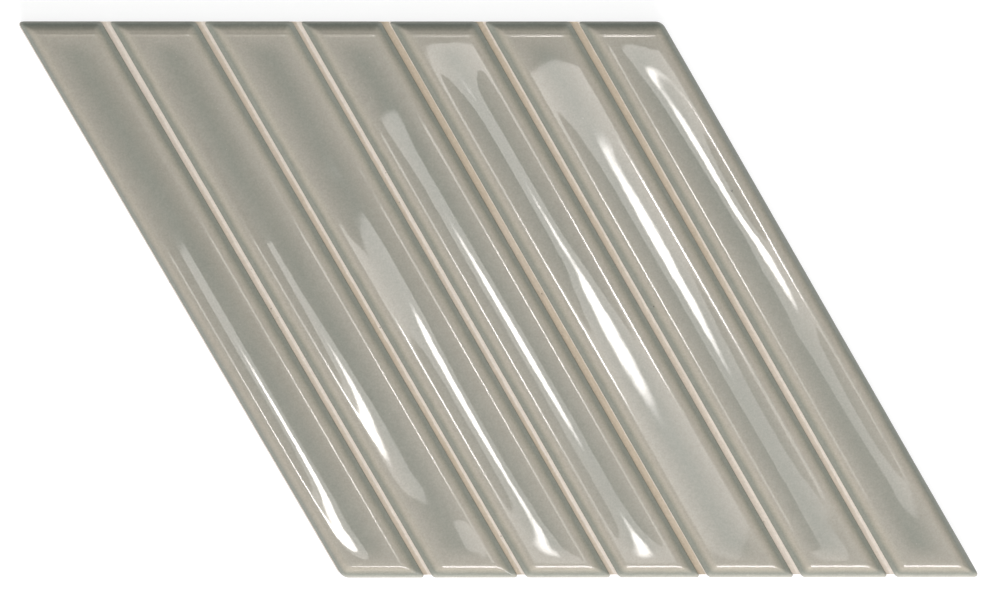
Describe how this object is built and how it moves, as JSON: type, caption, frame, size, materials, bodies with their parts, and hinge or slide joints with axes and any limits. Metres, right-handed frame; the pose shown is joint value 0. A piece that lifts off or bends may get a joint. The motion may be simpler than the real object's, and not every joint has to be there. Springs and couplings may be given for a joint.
{
  "type": "ceramic wall tile",
  "caption": "Rhombus wall tile in glazed ceramic, with parallel raised bevelled bars across its face, bare clay score lines between them and a keyed back for adhesive.",
  "frame": {"origin": "middle of the back face, which is what beds on the wall", "axes": "+Z out of the glazed face; +X along the two level edges of the rhombus; +Y towards the far edge, with the acute corners at the far left and the near right"},
  "size_m": [0.2266, 0.1316, 0.0085],
  "materials": {
    "glaze": "gloss",
    "biscuit": "matt"
  },
  "bodies": {
    "root": {"tile": "glaze"}
  },
  "joints": []
}
